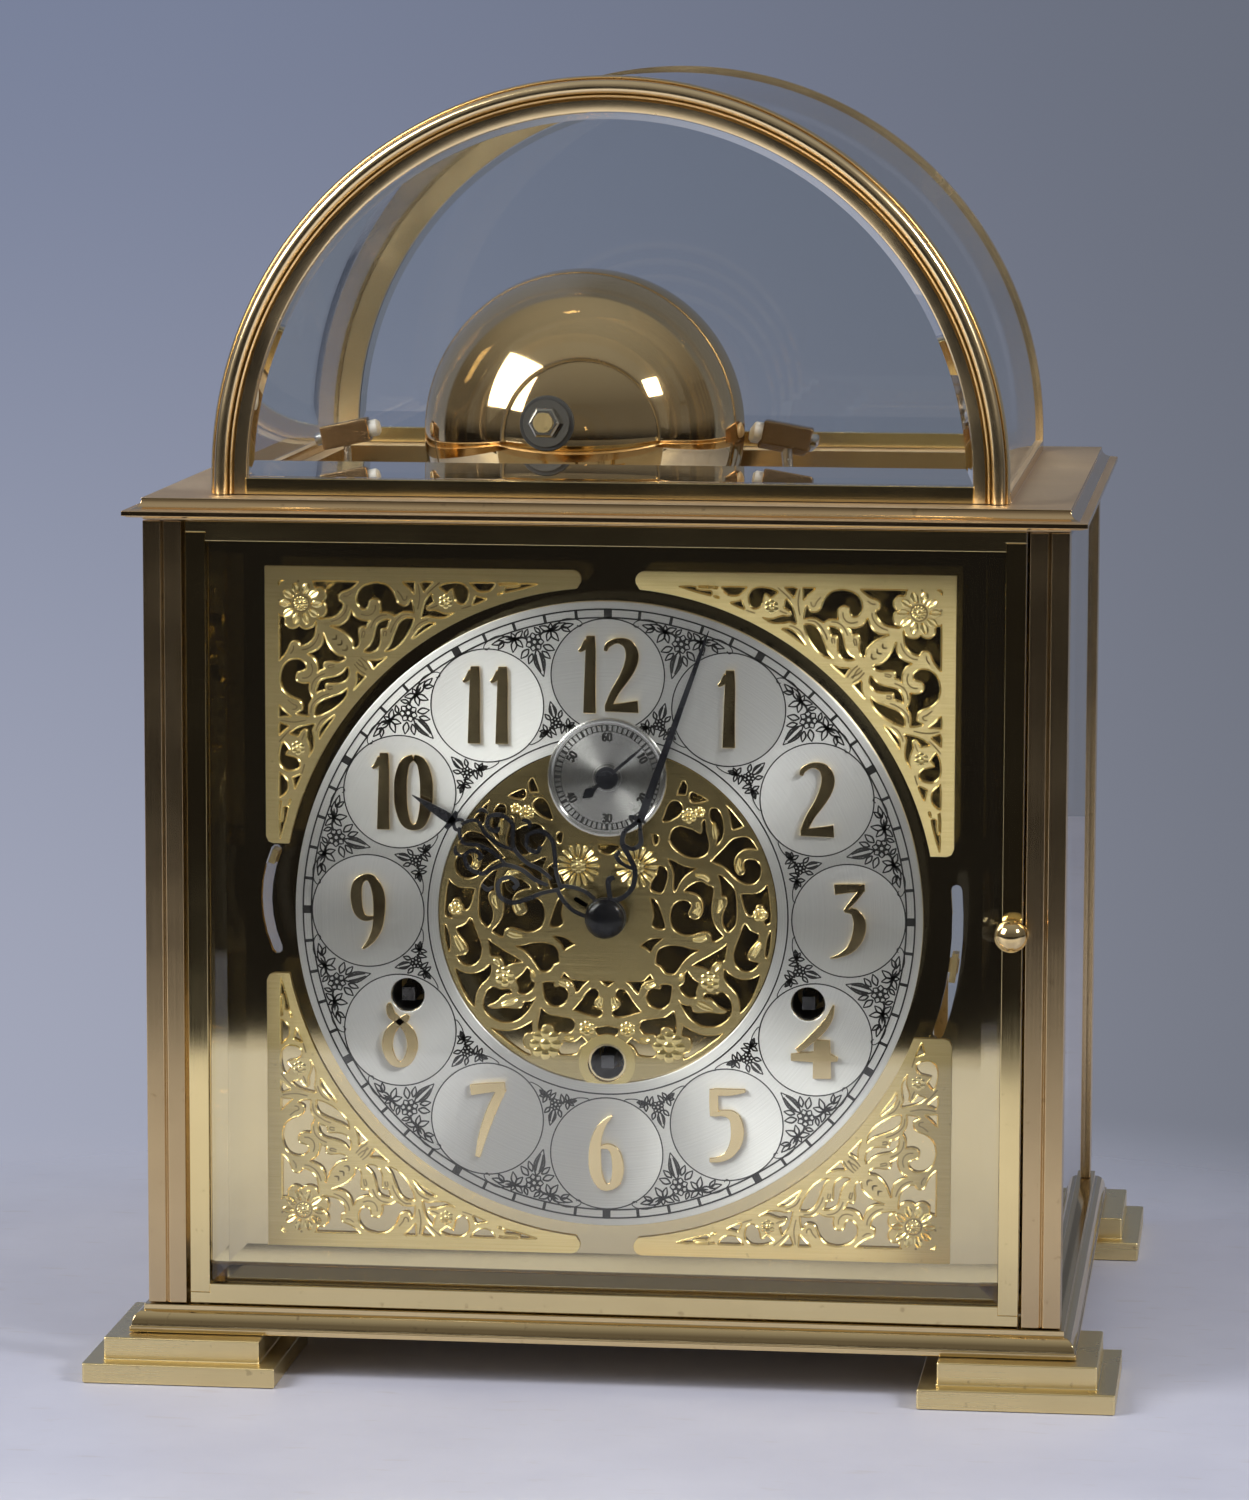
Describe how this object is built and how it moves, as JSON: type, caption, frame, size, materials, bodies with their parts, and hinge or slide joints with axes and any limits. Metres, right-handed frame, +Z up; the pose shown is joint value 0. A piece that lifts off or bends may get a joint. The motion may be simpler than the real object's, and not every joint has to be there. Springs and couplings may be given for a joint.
{
  "type": "mantel clock",
  "caption": "Brass mantel clock with bevelled glass sides, hinged doors, arched glass hood over nested bells, silvered chapter ring and three-train movement.",
  "frame": {"origin": "on the table under the middle of the case", "axes": "+Z up, -Y towards the viewer of the dial, +X to the viewer's right"},
  "size_m": [0.2812, 0.2428, 0.3548],
  "materials": {
    "satin_brass": "satin brushed",
    "mirror_brass": "mirror polished",
    "polished_bell_brass": "polished",
    "gilt_brass": "pierced, matt ground, bright edges",
    "movement_brass": "brushed and lacquered",
    "hammer_brass": "dull",
    "silvered_brass": "silvered, brushed",
    "black_steel": "black satin",
    "clear_glass": "bevelled, polished"
  },
  "bodies": {
    "case": {"foot_front_left": "satin_brass", "foot_front_right": "satin_brass", "foot_rear_left": "satin_brass", "foot_rear_right": "satin_brass", "base_plate": "satin_brass", "pillar_front_left": "satin_brass", "pillar_front_right": "satin_brass", "pillar_rear_left": "satin_brass", "pillar_rear_right": "satin_brass", "cornice": "satin_brass", "side_glass_left": "clear_glass", "side_glass_right": "clear_glass", "front_arch": "satin_brass", "rear_arch": "satin_brass", "front_arch_glass": "clear_glass", "rear_arch_glass": "clear_glass", "vault_glass": "clear_glass", "dial_plate": "mirror_brass", "spandrel_upper_left": "gilt_brass", "spandrel_upper_right": "gilt_brass", "spandrel_lower_left": "gilt_brass", "spandrel_lower_right": "gilt_brass", "chapter_ring": "silvered_brass", "dial_centre": "gilt_brass", "seconds_dial": "silvered_brass", "front_movement_plate": "movement_brass", "rear_movement_plate": "movement_brass", "bell_stand": "satin_brass", "bell_nut": "satin_brass", "hour_bell": "polished_bell_brass", "chime_bell_1": "polished_bell_brass", "chime_bell_2": "polished_bell_brass", "chime_bell_3": "polished_bell_brass"},
    "front_door": {"front_door_frame": "satin_brass", "front_door_glass": "clear_glass", "front_door_knob": "satin_brass"},
    "rear_door": {"rear_door_frame": "satin_brass", "rear_door_glass": "clear_glass", "rear_door_knob": "satin_brass"},
    "minute_arbor": {"centre_wheel": "movement_brass", "minute_hand": "black_steel", "hand_nut": "black_steel"},
    "hour_pipe": {"hour_wheel": "movement_brass", "hour_hand": "black_steel"},
    "seconds_arbor": {"escape_wheel": "movement_brass", "second_hand": "black_steel"},
    "third_arbor": {"third_wheel": "movement_brass"},
    "minute_wheel_arbor": {"minute_wheel": "movement_brass"},
    "going_barrel_arbor": {"going_barrel": "movement_brass"},
    "strike_barrel_arbor": {"strike_barrel": "movement_brass"},
    "chime_barrel_arbor": {"chime_barrel": "movement_brass"},
    "chime_drum_arbor": {"chime_drum": "movement_brass"},
    "balance": {"balance_wheel": "gilt_brass"},
    "silent_lever_arm": {"silent_lever": "satin_brass"},
    "melody_lever_arm": {"melody_lever": "satin_brass"},
    "hour_hammer_arm": {"hour_hammer": "hammer_brass"},
    "chime_hammer_1_arm": {"chime_hammer_1": "hammer_brass"},
    "chime_hammer_2_arm": {"chime_hammer_2": "hammer_brass"},
    "chime_hammer_3_arm": {"chime_hammer_3": "hammer_brass"},
    "chime_hammer_4_arm": {"chime_hammer_4": "hammer_brass"}
  },
  "joints": [
    {"name": "front_door_hinge", "type": "hinge", "parent": "case", "child": "front_door", "pos_m": [-0.1095, -0.1028, 0.12755], "axis": [0, 0, -1], "range_deg": [0, 105]},
    {"name": "rear_door_hinge", "type": "hinge", "parent": "case", "child": "rear_door", "pos_m": [-0.1095, 0.1028, 0.12755], "axis": [0, 0, 1], "range_deg": [0, 105]},
    {"name": "minute_turn", "type": "hinge", "parent": "case", "child": "minute_arbor", "pos_m": [0, -0.05, 0.12755], "axis": [0, 1, 0], "continuous": true},
    {"name": "hour_turn", "type": "hinge", "parent": "case", "child": "hour_pipe", "pos_m": [0, -0.085, 0.12755], "axis": [0, 1, 0], "continuous": true},
    {"name": "seconds_turn", "type": "hinge", "parent": "case", "child": "seconds_arbor", "pos_m": [0, -0.05, 0.16565], "axis": [0, 1, 0], "continuous": true},
    {"name": "third_turn", "type": "hinge", "parent": "case", "child": "third_arbor", "pos_m": [0.00653, -0.04, 0.14814], "axis": [0, 1, 0], "continuous": true},
    {"name": "minute_wheel_turn", "type": "hinge", "parent": "case", "child": "minute_wheel_arbor", "pos_m": [-0.006, -0.076, 0.11716], "axis": [0, 1, 0], "continuous": true},
    {"name": "going_barrel_turn", "type": "hinge", "parent": "case", "child": "going_barrel_arbor", "pos_m": [0, -0.05, 0.08675], "axis": [0, 1, 0], "continuous": true},
    {"name": "strike_barrel_turn", "type": "hinge", "parent": "case", "child": "strike_barrel_arbor", "pos_m": [-0.055, -0.05, 0.10435], "axis": [0, 1, 0], "continuous": true},
    {"name": "chime_barrel_turn", "type": "hinge", "parent": "case", "child": "chime_barrel_arbor", "pos_m": [0.055, -0.05, 0.10435], "axis": [0, 1, 0], "continuous": true},
    {"name": "chime_drum_turn", "type": "hinge", "parent": "case", "child": "chime_drum_arbor", "pos_m": [0.06102, 0, 0.13619], "axis": [0, 1, 0], "continuous": true},
    {"name": "balance_swing", "type": "hinge", "parent": "case", "child": "balance", "pos_m": [-0.046, -0.0076, 0.17755], "axis": [0, 1, 0], "range_deg": [-135, 135], "stiffness_Nm_per_rad": 0.0002},
    {"name": "silent_lever_turn", "type": "hinge", "parent": "case", "child": "silent_lever_arm", "pos_m": [-0.0603, -0.0867, 0.13015], "axis": [0, -1, 0], "range_deg": [0, 41]},
    {"name": "melody_lever_turn", "type": "hinge", "parent": "case", "child": "melody_lever_arm", "pos_m": [0, -0.0867, 0.12755], "axis": [0, -1, 0], "range_deg": [-8.8, 10.2]},
    {"name": "hour_hammer_swing", "type": "hinge", "parent": "case", "child": "hour_hammer_arm", "pos_m": [-0.082, 0.0015, 0.18205], "axis": [0, 1, 0], "range_deg": [0, 10.5], "stiffness_Nm_per_rad": 0.05, "springref_deg": -17.19},
    {"name": "chime_hammer_1_swing", "type": "hinge", "parent": "case", "child": "chime_hammer_1_arm", "pos_m": [0.046, 0.0015, 0.15805], "axis": [0, -1, 0], "range_deg": [-8, 1], "stiffness_Nm_per_rad": 0.3},
    {"name": "chime_hammer_2_swing", "type": "hinge", "parent": "case", "child": "chime_hammer_2_arm", "pos_m": [0.046, 0.01434, 0.15805], "axis": [0, -1, 0], "range_deg": [-8, 1], "stiffness_Nm_per_rad": 0.3},
    {"name": "chime_hammer_3_swing", "type": "hinge", "parent": "case", "child": "chime_hammer_3_arm", "pos_m": [0.046, 0.02718, 0.15805], "axis": [0, -1, 0], "range_deg": [-8, 1], "stiffness_Nm_per_rad": 0.3},
    {"name": "chime_hammer_4_swing", "type": "hinge", "parent": "case", "child": "chime_hammer_4_arm", "pos_m": [0.046, 0.04002, 0.15805], "axis": [0, -1, 0], "range_deg": [-8, 1], "stiffness_Nm_per_rad": 0.3}
  ],
  "couplings": [
    {"joint": "hour_turn", "follows": "minute_turn", "ratio": 0.083333},
    {"joint": "minute_wheel_turn", "follows": "minute_turn", "ratio": -0.33333},
    {"joint": "third_turn", "follows": "minute_turn", "ratio": -8},
    {"joint": "seconds_turn", "follows": "minute_turn", "ratio": 60},
    {"joint": "going_barrel_turn", "follows": "minute_turn", "ratio": -0.25},
    {"joint": "chime_drum_turn", "follows": "chime_barrel_turn", "ratio": -5}
  ]
}
